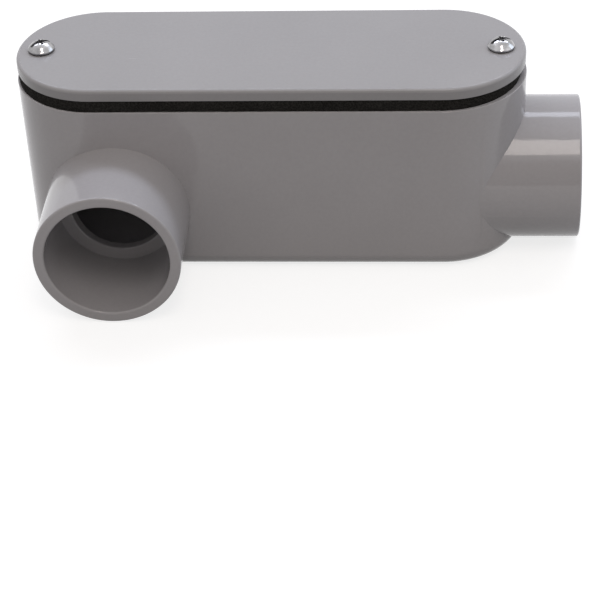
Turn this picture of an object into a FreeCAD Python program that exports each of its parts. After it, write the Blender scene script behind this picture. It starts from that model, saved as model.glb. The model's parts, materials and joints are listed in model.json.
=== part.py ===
import FreeCAD, Part
import math
import os
import Sketcher

# Conduit body with an end hub and a side hub, moulded in grey PVC, for 1-1/4 inch conduit.
#
# Frame: the origin is the centre of the flat back. +X runs to the end hub, -Y to the side hub
# and +Z to the cover. All lengths are in millimetres and angles in degrees.

SIZES = [
    # the oblong body, a one-piece moulding that draws off its core towards +Z
    ("rim_length", 175.6, "body length over its round ends, at the rim"),
    ("rim_width", 57.0, "body width at the rim"),
    ("body_height", 64.0, "back to rim"),
    ("draft_angle", 0.7, "moulding draft of the side wall, in degrees"),
    ("body_wall", 3.5, "side wall"),
    ("floor_thickness", 4.0, "wall at the back"),
    ("back_edge_radius", 6.2, "outer edge between side wall and back"),
    ("chamber_chamfer", 1.6, "inner edge between side wall and floor"),
    ("rim_chamfer", 0.3, "broken outer edge of the rim"),
    # the two hubs, alike apart from their places
    ("socket_diameter", 42.4, "bore that takes the conduit"),
    ("socket_depth", 32.5, "mouth to conduit stop"),
    ("hub_wall", 3.8, "socket to the outside of the hub"),
    ("hub_back_clearance", 0.2, "back plane to the lowest line of each hub"),
    ("end_hub_projection", 18.8, "rim's end to the mouth of the end hub"),
    ("side_hub_end_distance", 35.0, "rim's far end to the axis of the side hub"),
    ("side_stop_inset", 1.0, "rim's side to the conduit stop of the side hub, inwards"),
    ("mouth_lead_in", 0.8, "chamfer round the socket at the mouth"),
    ("mouth_edge_chamfer", 0.9, "outer edge of the mouth"),
    ("stop_shoulder", 4.5, "width of the ring that stops the conduit"),
    ("throat_chamfer", 0.5, "edge of the throat at the stop, where wires rub"),
    ("end_stop_thickness", 3.6, "wall between the end socket's stop and the chamber"),
    # the gasket, cut from closed-cell foam
    ("gasket_thickness", 4.2, "foam as squeezed by the cover"),
    ("gasket_side_inset", 0.6, "rim's side to the edge of the gasket"),
    ("gasket_end_inset", 1.2, "rim's end to the end of the gasket"),
    ("gasket_band", 4.6, "width of the gasket along the sides"),
    ("gasket_end_band", 13.2, "width of the gasket over the screw bosses"),
    ("gasket_slip", 0.6, "how far the gasket lies off centre, away from the end hub"),
    ("gasket_hole_clearance", 1.0, "screw to gasket, all round"),
    # the cover
    ("cover_inset", 0.3, "rim's edge to the cover's edge"),
    ("cover_thickness", 4.2, "edge height of the cover"),
    ("cover_edge_radius", 1.2, "rounded upper edge of the cover"),
    ("cover_recess_depth", 1.8, "hollow under the cover"),
    ("cover_skirt", 5.6, "solid band along the sides of the cover"),
    ("cover_end_pad", 14.8, "solid band under each screw"),
    ("cover_hole_clearance", 0.3, "screw to cover, all round"),
    # the cover screws and their bosses
    ("screw_end_distance", 8.8, "rim's end to the screw's axis"),
    ("screw_diameter", 4.8, "shank over its thread"),
    ("screw_length", 19.0, "shank below the head"),
    ("screw_point_chamfer", 0.7, "chamfer at the shank's end"),
    ("head_diameter", 9.2, "pan head"),
    ("head_height", 3.5, "pan head at its crown"),
    ("head_side_height", 1.0, "upright side of the pan head"),
    ("slot_width", 1.2, "slot across the head"),
    ("slot_depth", 1.4, "slot below the crown"),
    ("cross_span", 5.2, "cross recess, tip to tip"),
    ("cross_width", 1.1, "width of each arm of the cross recess"),
    ("cross_depth", 2.2, "cross recess below the crown"),
    ("boss_diameter", 11.0, "screw boss at the rim"),
    ("boss_hole_clearance", 0.05, "screw thread to boss, all round"),
    ("boss_hole_depth", 12.0, "screw hole below the rim"),
]

# Places that several pieces share, as expressions on the sheet.
SOCKET_RADIUS = "(sizes.socket_diameter / 2)"
HUB_RADIUS = "(%s + sizes.hub_wall)" % SOCKET_RADIUS
THROAT_RADIUS = "(%s - sizes.stop_shoulder)" % SOCKET_RADIUS
HUB_AXIS_HEIGHT = "(%s + sizes.hub_back_clearance)" % HUB_RADIUS
END_MOUTH = "(sizes.rim_length / 2 + sizes.end_hub_projection)"
END_STOP = "(%s - sizes.socket_depth)" % END_MOUTH
CHAMBER_END = "(%s - sizes.end_stop_thickness)" % END_STOP
SIDE_STATION = "(sizes.rim_length / 2 - sizes.side_hub_end_distance)"
SIDE_STOP = "(sizes.rim_width / 2 - sizes.side_stop_inset)"
SIDE_MOUTH = "(%s + sizes.socket_depth)" % SIDE_STOP
SCREW_STATION = "(sizes.rim_length / 2 - sizes.screw_end_distance)"
GASKET_SEAT = "sizes.body_height"
COVER_SEAT = "(%s + sizes.gasket_thickness)" % GASKET_SEAT
SCREW_SEAT = "(%s + sizes.cover_thickness)" % COVER_SEAT

NEAR = 1e-3
NO_TAPER = "0"

document = FreeCAD.newDocument("conduit_body")
sheet = document.addObject("Spreadsheet::Sheet", "sizes")


def fill_sheet():
    """Write every size into the sheet: its name, its value and what it measures."""
    for row, (name, value, meaning) in enumerate(SIZES, start=1):
        sheet.set("A%d" % row, name)
        sheet.set("B%d" % row, str(value))
        sheet.set("C%d" % row, meaning)
        sheet.setAlias("B%d" % row, name)
    document.recompute()


def number(expression):
    """The present value of an expression on the sheet."""
    return float(sheet.evalExpression(expression))


def new_body(name):
    body = document.addObject("PartDesign::Body", name)
    body.Label = name
    return body


def place(body, x, z):
    """Set a body's own origin at x and z in the frame of the whole object."""
    body.setExpression("Placement.Base.x", x)
    body.setExpression("Placement.Base.z", z)


def new_sketch(body, name, plane, shift=("0", "0", "0")):
    """A sketch on one of the body's origin planes, shifted in the sketch's own directions."""
    sketch = body.newObject("Sketcher::SketchObject", name)
    support = next(item for item in body.Origin.OriginFeatures if item.Role == plane)
    sketch.AttachmentSupport = (support, [""])
    sketch.MapMode = "FlatFace"
    for direction, expression in zip("xyz", shift):
        sketch.setExpression("AttachmentOffset.Base.%s" % direction, expression)
    return sketch


def bind(sketch, constraint, expression):
    index = sketch.addConstraint(constraint)
    sketch.setExpression("Constraints[%d]" % index, expression)


def at(sketch, edge, end, x, y):
    """Hold a point of the sketch at x and y."""
    bind(sketch, Sketcher.Constraint("DistanceX", -1, 1, edge, end, number(x)), x)
    if y == "0":
        sketch.addConstraint(Sketcher.Constraint("PointOnObject", edge, end, -1))
    else:
        bind(sketch, Sketcher.Constraint("DistanceY", -1, 1, edge, end, number(y)), y)


def draw_outline(sketch, corners):
    """A closed run of straight edges through corners, each a pair of expressions."""
    first = sketch.GeometryCount
    points = [FreeCAD.Vector(number(x), number(y), 0) for x, y in corners]
    for start, finish in zip(points, points[1:] + points[:1]):
        sketch.addGeometry(Part.LineSegment(start, finish))
    for step, (x, y) in enumerate(corners):
        following = first + (step + 1) % len(corners)
        sketch.addConstraint(Sketcher.Constraint("Coincident", first + step, 2, following, 1))
        at(sketch, first + step, 1, x, y)


def draw_circle(sketch, x, y, radius):
    centre = FreeCAD.Vector(number(x), number(y), 0)
    edge = sketch.addGeometry(Part.Circle(centre, FreeCAD.Vector(0, 0, 1), number(radius)))
    at(sketch, edge, 3, x, y)
    bind(sketch, Sketcher.Constraint("Radius", edge, number(radius)), radius)


def draw_oblong(sketch, left, right, half_width):
    """A slot shape along X whose round ends reach left and right of the sketch's origin."""
    radius = number(half_width)
    left_centre = FreeCAD.Vector(radius - number(left), 0, 0)
    right_centre = FreeCAD.Vector(number(right) - radius, 0, 0)
    normal = FreeCAD.Vector(0, 0, 1)
    up = FreeCAD.Vector(0, radius, 0)
    right_end = sketch.addGeometry(
        Part.ArcOfCircle(Part.Circle(right_centre, normal, radius), -math.pi / 2, math.pi / 2))
    top = sketch.addGeometry(Part.LineSegment(right_centre + up, left_centre + up))
    left_end = sketch.addGeometry(
        Part.ArcOfCircle(Part.Circle(left_centre, normal, radius), math.pi / 2, 3 * math.pi / 2))
    bottom = sketch.addGeometry(Part.LineSegment(left_centre - up, right_centre - up))
    loop = [right_end, top, left_end, bottom]
    for edge, following in zip(loop, loop[1:] + loop[:1]):
        sketch.addConstraint(Sketcher.Constraint("Tangent", edge, 2, following, 1))
    bind(sketch, Sketcher.Constraint("Radius", right_end, radius), half_width)
    at(sketch, right_end, 3, "%s - %s" % (right, half_width), "0")
    at(sketch, left_end, 3, "%s - %s" % (half_width, left), "0")


def draw_segment(sketch, chord, centre, radius):
    """The part of a circle on the X axis that lies beyond an upright chord."""
    size = number(radius)
    middle = FreeCAD.Vector(number(centre), 0, 0)
    half_angle = math.acos((number(chord) - middle.x) / size)
    rise = FreeCAD.Vector(0, size * math.sin(half_angle), 0)
    foot = FreeCAD.Vector(number(chord), 0, 0)
    circle = Part.Circle(middle, FreeCAD.Vector(0, 0, 1), size)
    round_side = sketch.addGeometry(Part.ArcOfCircle(circle, -half_angle, half_angle))
    straight_side = sketch.addGeometry(Part.LineSegment(foot + rise, foot - rise))
    sketch.addConstraint(Sketcher.Constraint("Coincident", round_side, 2, straight_side, 1))
    sketch.addConstraint(Sketcher.Constraint("Coincident", straight_side, 2, round_side, 1))
    sketch.addConstraint(Sketcher.Constraint("Vertical", straight_side))
    bind(sketch, Sketcher.Constraint("Radius", round_side, size), radius)
    bind(sketch, Sketcher.Constraint("DistanceX", -1, 1, straight_side, 1, foot.x), chord)
    at(sketch, round_side, 3, centre, "0")


def extrude(body, kind, name, sketch, length, taper=NO_TAPER, reverse=False):
    """A Pad or Pocket of the sketch, checked to have added or taken material."""
    before = 0.0 if body.Tip is None else body.Tip.Shape.Volume
    feature = body.newObject("PartDesign::" + kind, name)
    feature.Profile = sketch
    feature.Reversed = reverse
    feature.setExpression("Length", length)
    feature.setExpression("TaperAngle", taper)
    return settled(feature, before)


def turn(body, kind, name, sketch, axis):
    """A Revolution or Groove of the sketch about one of its own axes."""
    before = 0.0 if body.Tip is None else body.Tip.Shape.Volume
    feature = body.newObject("PartDesign::" + kind, name)
    feature.Profile = sketch
    feature.ReferenceAxis = (sketch, [axis])
    feature.Angle = 360
    return settled(feature, before)


def dress_edges(body, kind, name, size, wanted):
    """A Fillet or Chamfer along every edge of the body so far that the test picks out."""
    base = body.Tip
    names = ["Edge%d" % (place + 1) for place, edge in enumerate(base.Shape.Edges) if wanted(edge)]
    if not names:
        raise RuntimeError("no edge found for " + name)
    before = base.Shape.Volume
    feature = body.newObject("PartDesign::" + kind, name)
    feature.Base = (base, names)
    feature.setExpression("Radius" if kind == "Fillet" else "Size", size)
    return settled(feature, before)


def settled(feature, before):
    """Recompute, and insist that the feature is sound and has changed the body."""
    document.recompute()
    if "Invalid" in feature.State or "Error" in feature.State:
        raise RuntimeError("%s failed: %s" % (feature.Name, feature.State))
    if abs(feature.Shape.Volume - before) < NEAR:
        raise RuntimeError(feature.Name + " changed nothing")
    return feature


def lies_at(edge, axis, position):
    """True where the whole edge lies in the plane at position along axis x, y or z."""
    box = edge.BoundBox
    low = getattr(box, axis.upper() + "Min")
    high = getattr(box, axis.upper() + "Max")
    return abs(low - position) < NEAR and abs(high - position) < NEAR


def is_circle(edge, radius):
    curve = edge.Curve
    return curve.TypeId == "Part::GeomCircle" and abs(curve.Radius - radius) < NEAR


def draw_socket(sketch, mouth, stop, inner, sign):
    """Half the section of a socket: throat, conduit stop, wall and lead-in.

    mouth, stop and inner are distances along the hub's axis and sign is the side it opens to.
    """
    draw_outline(sketch, [
        (sign + inner, "0"),
        (sign + inner, THROAT_RADIUS),
        (sign + stop, THROAT_RADIUS),
        (sign + stop, SOCKET_RADIUS),
        (sign + "(%s - sizes.mouth_lead_in)" % mouth, SOCKET_RADIUS),
        (sign + mouth, SOCKET_RADIUS + " + sizes.mouth_lead_in"),
        (sign + mouth, "0"),
    ])


def make_housing():
    """The one-piece moulding: oblong body, two hubs, chamber, sockets and screw bosses."""
    body = new_body("conduit_body")
    half_width = "sizes.rim_width / 2"
    half_length = "sizes.rim_length / 2"
    inner_half_width = "(sizes.rim_width / 2 - sizes.body_wall)"
    inner_half_length = "(sizes.rim_length / 2 - sizes.body_wall)"
    inward_draft = "-sizes.draft_angle"
    at_rim = ("0", "0", "sizes.body_height")

    outline = new_sketch(body, "rim_outline", "XY_Plane", at_rim)
    draw_oblong(outline, half_length, half_length, half_width)
    extrude(body, "Pad", "oblong_form", outline, "sizes.body_height", inward_draft, reverse=True)
    dress_edges(body, "Fillet", "back_edge", "sizes.back_edge_radius",
                lambda edge: lies_at(edge, "z", 0))
    rim = number("sizes.body_height")
    dress_edges(body, "Chamfer", "rim_edge", "sizes.rim_chamfer",
                lambda edge: lies_at(edge, "z", rim))

    side_circle = new_sketch(body, "side_hub_circle", "XZ_Plane")
    draw_circle(side_circle, "-" + SIDE_STATION, HUB_AXIS_HEIGHT, HUB_RADIUS)
    extrude(body, "Pad", "side_hub", side_circle, SIDE_MOUTH)

    chamber = new_sketch(body, "chamber_outline", "XY_Plane", at_rim)
    draw_oblong(chamber, inner_half_length, inner_half_length, inner_half_width)
    chamber_depth = "sizes.body_height - sizes.floor_thickness"
    extrude(body, "Pocket", "chamber", chamber, chamber_depth, inward_draft)
    floor = number("sizes.floor_thickness")
    dress_edges(body, "Chamfer", "chamber_edge", "sizes.chamber_chamfer",
                lambda edge: lies_at(edge, "z", floor))

    at_floor = ("0", "0", "sizes.floor_thickness")
    end_wall = new_sketch(body, "end_wall_outline", "XY_Plane", at_floor)
    round_centre = "(%s - %s)" % (inner_half_length, inner_half_width)
    middle_of_wall = "(%s + sizes.body_wall / 2)" % inner_half_width
    draw_segment(end_wall, CHAMBER_END, round_centre, middle_of_wall)
    extrude(body, "Pad", "end_wall", end_wall, HUB_AXIS_HEIGHT + " - sizes.floor_thickness")

    end_circle = new_sketch(body, "end_hub_circle", "YZ_Plane", ("0", "0", CHAMBER_END))
    draw_circle(end_circle, "0", HUB_AXIS_HEIGHT, HUB_RADIUS)
    extrude(body, "Pad", "end_hub", end_circle, "%s - %s" % (END_MOUTH, CHAMBER_END))

    bosses = new_sketch(body, "boss_circles", "XY_Plane", at_rim)
    for sign in ("-", ""):
        draw_circle(bosses, sign + SCREW_STATION, "0", "sizes.boss_diameter / 2")
    extrude(body, "Pad", "screw_bosses", bosses, chamber_depth, reverse=True)

    end_socket = new_sketch(body, "end_socket_section", "XZ_Plane", ("0", HUB_AXIS_HEIGHT, "0"))
    throat_end = "(%s - sizes.end_stop_thickness * 2)" % END_STOP
    draw_socket(end_socket, END_MOUTH, END_STOP, throat_end, "")
    turn(body, "Groove", "end_socket", end_socket, "H_Axis")

    side_shift = ("0", HUB_AXIS_HEIGHT, "-" + SIDE_STATION)
    side_socket = new_sketch(body, "side_socket_section", "YZ_Plane", side_shift)
    draw_socket(side_socket, SIDE_MOUTH, SIDE_STOP, "(sizes.rim_width / 4)", "-")
    turn(body, "Groove", "side_socket", side_socket, "H_Axis")

    holes = new_sketch(body, "boss_hole_circles", "XY_Plane", at_rim)
    hole_radius = "sizes.screw_diameter / 2 + sizes.boss_hole_clearance"
    for sign in ("-", ""):
        draw_circle(holes, sign + SCREW_STATION, "0", hole_radius)
    extrude(body, "Pocket", "boss_holes", holes, "sizes.boss_hole_depth")

    finish_edges(body)
    return body


def finish_edges(body):
    """The broken edges at the two mouths and the two throats."""
    end_mouth = number(END_MOUTH)
    side_mouth = -number(SIDE_MOUTH)
    end_stop = number(END_STOP)
    side_stop = -number(SIDE_STOP)
    hub_radius = number(HUB_RADIUS)
    throat_radius = number(THROAT_RADIUS)

    def on_mouth(edge):
        at_mouth = lies_at(edge, "x", end_mouth) or lies_at(edge, "y", side_mouth)
        return at_mouth and is_circle(edge, hub_radius)

    def on_throat(edge):
        at_stop = lies_at(edge, "x", end_stop) or lies_at(edge, "y", side_stop)
        return at_stop and is_circle(edge, throat_radius)

    dress_edges(body, "Chamfer", "mouth_edges", "sizes.mouth_edge_chamfer", on_mouth)
    dress_edges(body, "Chamfer", "throat_edges", "sizes.throat_chamfer", on_throat)


def make_gasket():
    """A ring of foam with a wide band over each boss, laid a little off centre."""
    body = new_body("gasket")
    place(body, "-sizes.gasket_slip", GASKET_SEAT)
    half_length = "(sizes.rim_length / 2 - sizes.gasket_end_inset)"
    half_width = "(sizes.rim_width / 2 - sizes.gasket_side_inset)"
    opening_half_length = "(%s - sizes.gasket_end_band)" % half_length
    opening_half_width = "(%s - sizes.gasket_band)" % half_width
    outline = new_sketch(body, "gasket_outline", "XY_Plane")
    draw_oblong(outline, half_length, half_length, half_width)
    draw_oblong(outline, opening_half_length, opening_half_length, opening_half_width)
    hole_radius = "sizes.screw_diameter / 2 + sizes.gasket_hole_clearance"
    for sign in ("-", ""):
        hole_centre = "%s%s + sizes.gasket_slip" % (sign, SCREW_STATION)
        draw_circle(outline, hole_centre, "0", hole_radius)
    extrude(body, "Pad", "foam", outline, "sizes.gasket_thickness")
    return body


def make_cover():
    """A flat oblong cover with a rounded upper edge, hollow underneath between its screws."""
    body = new_body("cover")
    place(body, "0", COVER_SEAT)
    half_length = "(sizes.rim_length / 2 - sizes.cover_inset)"
    half_width = "(sizes.rim_width / 2 - sizes.cover_inset)"
    hollow_half_length = "(%s - sizes.cover_end_pad)" % half_length
    hollow_half_width = "(%s - sizes.cover_skirt)" % half_width
    outline = new_sketch(body, "cover_outline", "XY_Plane")
    draw_oblong(outline, half_length, half_length, half_width)
    extrude(body, "Pad", "plate", outline, "sizes.cover_thickness")
    top = number("sizes.cover_thickness")
    dress_edges(body, "Fillet", "cover_edge", "sizes.cover_edge_radius",
                lambda edge: lies_at(edge, "z", top))
    hollow = new_sketch(body, "hollow_outline", "XY_Plane")
    draw_oblong(hollow, hollow_half_length, hollow_half_length, hollow_half_width)
    extrude(body, "Pocket", "hollow", hollow, "sizes.cover_recess_depth", reverse=True)
    holes = new_sketch(body, "cover_hole_circles", "XY_Plane")
    hole_radius = "sizes.screw_diameter / 2 + sizes.cover_hole_clearance"
    for sign in ("-", ""):
        draw_circle(holes, sign + SCREW_STATION, "0", hole_radius)
    extrude(body, "Pocket", "cover_holes", holes, "sizes.cover_thickness", reverse=True)
    return body


def draw_screw(sketch):
    """Half the section of a screw: domed pan head above z = 0 and chamfered shank below."""
    head_radius = number("sizes.head_diameter / 2")
    side = number("sizes.head_side_height")
    crown = number("sizes.head_height")
    shank_radius = "sizes.screw_diameter / 2"
    point_radius = shank_radius + " - sizes.screw_point_chamfer"
    corners = [
        ("0", "sizes.head_height"),
        ("0", "-sizes.screw_length"),
        (point_radius, "-sizes.screw_length"),
        (shank_radius, "sizes.screw_point_chamfer - sizes.screw_length"),
        (shank_radius, "0"),
        ("sizes.head_diameter / 2", "0"),
        ("sizes.head_diameter / 2", "sizes.head_side_height"),
    ]
    points = [FreeCAD.Vector(number(x), number(y), 0) for x, y in corners]
    for step, (start, finish) in enumerate(zip(points, points[1:])):
        sketch.addGeometry(Part.LineSegment(start, finish))
        if step:
            sketch.addConstraint(Sketcher.Constraint("Coincident", step - 1, 2, step, 1))
        at(sketch, step, 1, *corners[step])
    last = len(points) - 2
    at(sketch, last, 2, *corners[-1])
    rise = crown - side
    dome_radius = (head_radius ** 2 + rise ** 2) / (2 * rise)
    centre = FreeCAD.Vector(0, crown - dome_radius, 0)
    half_angle = math.asin(head_radius / dome_radius)
    circle = Part.Circle(centre, FreeCAD.Vector(0, 0, 1), dome_radius)
    dome = sketch.addGeometry(Part.ArcOfCircle(circle, math.pi / 2 - half_angle, math.pi / 2))
    sketch.addConstraint(Sketcher.Constraint("Coincident", dome, 1, last, 2))
    sketch.addConstraint(Sketcher.Constraint("Coincident", dome, 2, 0, 1))
    sketch.addConstraint(Sketcher.Constraint("PointOnObject", dome, 3, -2))


def make_screw(name, sign):
    """A pan-head cover screw with a slot and a cross recess, at one end of the cover."""
    body = new_body(name)
    place(body, sign + SCREW_STATION, SCREW_SEAT)
    section = new_sketch(body, name + "_section", "XZ_Plane")
    draw_screw(section)
    turn(body, "Revolution", name + "_form", section, "V_Axis")
    at_crown = ("0", "0", "sizes.head_height")
    half_slot = "sizes.slot_width / 2"
    half_head = "sizes.head_diameter / 2"
    half_arm = "sizes.cross_width / 2"
    half_span = "sizes.cross_span / 2"
    slot = new_sketch(body, name + "_slot_outline", "XY_Plane", at_crown)
    draw_rectangle(slot, half_head, half_slot)
    extrude(body, "Pocket", name + "_slot", slot, "sizes.slot_depth")
    for label, half_x, half_y in (("along", half_span, half_arm), ("across", half_arm, half_span)):
        arm = new_sketch(body, "%s_arm_%s" % (name, label), "XY_Plane", at_crown)
        draw_rectangle(arm, half_x, half_y)
        extrude(body, "Pocket", "%s_cross_%s" % (name, label), arm, "sizes.cross_depth")
    return body


def draw_rectangle(sketch, half_x, half_y):
    draw_outline(sketch, [
        ("-" + half_x, "-" + half_y),
        (half_x, "-" + half_y),
        (half_x, half_y),
        ("-" + half_x, half_y),
    ])


def check_and_export(bodies):
    """Write one STEP file for each piece, once every object of the document is sound."""
    document.recompute()
    for item in document.Objects:
        if "Invalid" in item.State or "Error" in item.State:
            raise RuntimeError("%s is not sound: %s" % (item.Name, item.State))
    for body in bodies:
        if body.Shape.isNull() or not body.Shape.isValid():
            raise RuntimeError(body.Label + " has no valid shape")
    for body in bodies:
        body.Shape.exportStep("parts/%s.step" % body.Label)
        box = body.Shape.optimalBoundingBox()
        print("%-18s solids %d  volume %9.1f  x %7.2f %7.2f  y %7.2f %7.2f  z %7.2f %7.2f" % (
            body.Label, len(body.Shape.Solids), body.Shape.Volume,
            box.XMin, box.XMax, box.YMin, box.YMax, box.ZMin, box.ZMax))


os.makedirs("parts", exist_ok=True)
fill_sheet()
pieces = [
    make_housing(),
    make_gasket(),
    make_cover(),
    make_screw("cover_screw_left", "-"),
    make_screw("cover_screw_right", ""),
]
check_and_export(pieces)
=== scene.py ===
import json
import math

import bmesh
import bpy
from mathutils import Matrix, Vector


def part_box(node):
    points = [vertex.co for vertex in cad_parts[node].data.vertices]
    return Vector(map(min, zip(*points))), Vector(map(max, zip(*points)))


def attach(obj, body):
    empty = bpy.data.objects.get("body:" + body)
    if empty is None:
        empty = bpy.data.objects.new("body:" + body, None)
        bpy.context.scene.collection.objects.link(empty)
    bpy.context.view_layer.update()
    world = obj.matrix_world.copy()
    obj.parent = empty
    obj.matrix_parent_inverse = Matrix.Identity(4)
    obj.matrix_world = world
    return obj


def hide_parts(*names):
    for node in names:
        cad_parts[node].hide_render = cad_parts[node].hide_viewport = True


bl_info = {
    "name": "Conduit Body",
    "version": (1, 0, 0),
    "blender": (4, 5, 0),
    "location": "View3D > Sidebar > Conduit Body",
    "description": "Moulds the housing and cover, cuts the gasket, turns the screws and sets the stage",
    "category": "Object",
}

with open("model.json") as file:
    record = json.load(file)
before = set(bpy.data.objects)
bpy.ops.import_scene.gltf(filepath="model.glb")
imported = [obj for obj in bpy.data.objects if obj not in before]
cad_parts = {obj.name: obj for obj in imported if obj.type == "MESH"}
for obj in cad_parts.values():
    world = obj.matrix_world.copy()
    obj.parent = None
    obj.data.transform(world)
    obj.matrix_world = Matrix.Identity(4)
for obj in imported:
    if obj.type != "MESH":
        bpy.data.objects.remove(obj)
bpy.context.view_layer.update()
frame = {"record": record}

HOUSING_LOW, HOUSING_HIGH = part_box("conduit_body")
GASKET_LOW, GASKET_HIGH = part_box("gasket")
COVER_LOW, COVER_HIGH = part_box("cover")
LEFT_LOW, LEFT_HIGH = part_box("cover_screw_left")
RIGHT_LOW, RIGHT_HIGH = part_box("cover_screw_right")
SCREW_STATION = (RIGHT_LOW.x + RIGHT_HIGH.x) / 2

MM = 0.001
FULL_TURN = 2 * math.pi
WELD = 1e-7  # metres; points nearer than this become one
END_FACETS = 80  # round half a turn of the oblong
CHORD_FACETS = 40
HUB_FACETS = 160
BOSS_FACETS = 64
HOLE_FACETS = 48
HUB_LIFT = 0.2 * MM  # the hubs' lowest line above the back
STOP_WALL_ROOT = 0.9  # share of the floor's thickness at which the stop wall starts
SIDE_PAINTED_SHADE_DEPTH = 1.4 * MM  # below the cover's top, where the painted shade on its side is full
FOAM_SEED = 3.7
CROWN_POWER = 2.8  # how squarely the dome of a screw head turns into its side
TICK_SHARES = (0.72, 0.3, 0.42)  # a tick's span, width and depth as shares of the cross's
CROSS_TAPER = 0.45  # how much the cross narrows at its bottom
LAMP_DISTANCE = 1.5  # metres
FLOOR_GAP = 0.05 * MM  # between the object's back and the paper


# What a user can change

def length(name, description, default):
    return bpy.props.FloatProperty(
        name=name, description=description, default=default, min=0.0, precision=5, unit="LENGTH")


def angle(name, description, default):
    """An angle, with its default in degrees."""
    return bpy.props.FloatProperty(
        name=name, description=description, default=math.radians(default), unit="ROTATION")


def share(name, description, default):
    return bpy.props.FloatProperty(
        name=name, description=description, default=default, min=0.0, max=1.0, subtype="FACTOR")


def power(name, description, default):
    return bpy.props.FloatProperty(
        name=name, description=description, default=default, min=0.0, unit="POWER")


def colour(name, description, default):
    return bpy.props.FloatVectorProperty(
        name=name, description=description, default=default, min=0.0, max=1.0, subtype="COLOR")


def count(name, description, default):
    return bpy.props.IntProperty(name=name, description=description, default=default, min=3)


class HousingSettings(bpy.types.PropertyGroup):
    rim_radius: length("Rim radius", "Radius of the round ends at the rim", 28.5 * MM)
    round_centre: length("Round centre", "Middle of the body to the centre of a round end", 59.3 * MM)
    draft: angle("Draft", "How far the side wall leans in towards the back", 0.7)
    back_round: length("Back round", "Radius between side wall and back", 6.2 * MM)
    rim_round: length("Rim round", "Radius of the rim's outer edge", 0.3 * MM)
    wall: length("Wall", "Thickness of the side wall", 3.5 * MM)
    floor: length("Floor", "Thickness of the wall at the back", 4.0 * MM)
    floor_round: length("Floor round", "Radius between floor and side wall", 1.6 * MM)
    chamber_end: length("Chamber end", "Middle of the body to the end hub's stop wall", 70.5 * MM)
    hub_radius: length("Hub radius", "Outside radius of each hub", 25.0 * MM)
    socket_radius: length("Socket radius", "Radius of the socket", 21.2 * MM)
    socket_depth: length("Socket depth", "Mouth to conduit stop", 32.5 * MM)
    throat_radius: length("Throat radius", "Radius of the way into the chamber", 16.7 * MM)
    mouth_round: length("Mouth round", "Radius of the mouth's outer edge", 0.8 * MM)
    lead_in: length("Lead-in", "Rounded lead-in at the mouth", 0.8 * MM)
    throat_round: length("Throat round", "Radius of the throat's edge at the stop", 0.5 * MM)
    boss_radius: length("Boss radius", "Radius of a screw boss", 5.5 * MM)
    boss_hole_radius: length("Boss hole radius", "Radius of the hole in a boss", 2.45 * MM)
    boss_hole_depth: length("Boss hole depth", "Depth of the hole in a boss", 12.0 * MM)
    colour: colour("Colour", "Grey of the moulded body", (0.391, 0.384, 0.400))
    roughness: share("Roughness", "Roughness of the moulded skin", 0.09)


class CoverSettings(bpy.types.PropertyGroup):
    top_round: length("Top round", "Radius of the cover's upper edge", 1.2 * MM)
    foot_round: length("Foot round", "Radius of the cover's lower edge", 0.25 * MM)
    recess: length("Recess", "Depth of the hollow under the cover", 1.8 * MM)
    skirt: length("Skirt", "Width of the solid band along the sides", 5.6 * MM)
    end_pad: length("End pad", "Length of the solid band under a screw", 14.8 * MM)
    hole_radius: length("Hole radius", "Radius of a screw hole", 2.7 * MM)
    colour: colour("Colour", "Grey of the cover", (0.350, 0.347, 0.359))
    # Side shade is painted shade: the cover's side is darker in colour because it gets less light than the
    # top.
    side_painted_shade: share("Side shade", "Brightness of the cover's side next to its top", 0.82)
    roughness: share("Roughness", "Roughness of the moulded skin", 0.24)


class GasketSettings(bpy.types.PropertyGroup):
    band: length("Band", "Width along the sides", 4.6 * MM)
    end_band: length("End band", "Width over a screw boss", 13.2 * MM)
    hole_radius: length("Hole radius", "Radius of a screw hole", 3.4 * MM)
    bulge: length("Bulge", "How far the squeezed foam swells", 0.22 * MM)
    unevenness: length("Unevenness", "Depth of the torn cells along the cut edge", 0.22 * MM)
    step: length("Step", "Distance between points along the cut edge", 0.7 * MM)
    colour: colour("Colour", "Black of the foam", (0.016, 0.0155, 0.0145))


class ScrewSettings(bpy.types.PropertyGroup):
    head_side: length("Head side", "Height of the upright side of the head", 1.0 * MM)
    undercut: length("Undercut", "How far the head is drawn in where it meets the cover", 0.25 * MM)
    shank_radius: length("Shank radius", "Radius over the thread", 2.4 * MM)
    thread_depth: length("Thread depth", "Depth of the thread", 0.42 * MM)
    thread_pitch: length("Thread pitch", "Rise of the thread in one turn", 1.06 * MM)
    slot_width: length("Slot width", "Width of the slot", 1.2 * MM)
    slot_depth: length("Slot depth", "Slot below the crown", 1.4 * MM)
    cross_span: length("Cross span", "Cross recess, tip to tip", 5.2 * MM)
    cross_width: length("Cross width", "Width of an arm of the cross recess", 1.1 * MM)
    cross_depth: length("Cross depth", "Cross recess below the crown", 2.2 * MM)
    left_turn: angle("Left turn", "How far the left screw's slot is turned", 31.0)
    right_turn: angle("Right turn", "How far the right screw's slot is turned", 22.0)
    sides: count("Sides", "Facets round the head and the shank", 64)
    colour: colour("Colour", "Zinc of the plating", (0.55, 0.542, 0.555))
    roughness: share("Roughness", "Roughness of the plating", 0.18)


class StageSettings(bpy.types.PropertyGroup):
    back_light: power("Back light", "Long strip lamp high behind the object", 13.2)
    back_tint: colour("Back tint", "Cool white of the lamp behind", (0.82, 0.87, 1.0))
    front_light: power("Front light", "Soft box high in front of the object", 4.3)
    front_tint: colour("Front tint", "Warm white of the lamp in front", (1.0, 0.915, 0.862))
    side_light: power("Side light", "Soft box low at the right, a little behind", 3.1)
    side_tint: colour("Side tint", "Cool white of the lamp at the side", (0.70, 0.84, 1.0))
    ambient: colour("Ambient", "Even light from all round", (0.456, 0.427, 0.404))
    floor_colour: colour("Floor colour", "Pale paper under the object", (0.35, 0.35, 0.35))
    floor_lift: share("Floor lift", "How far the paper is lifted to white where the camera sees it", 0.77)


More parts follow.
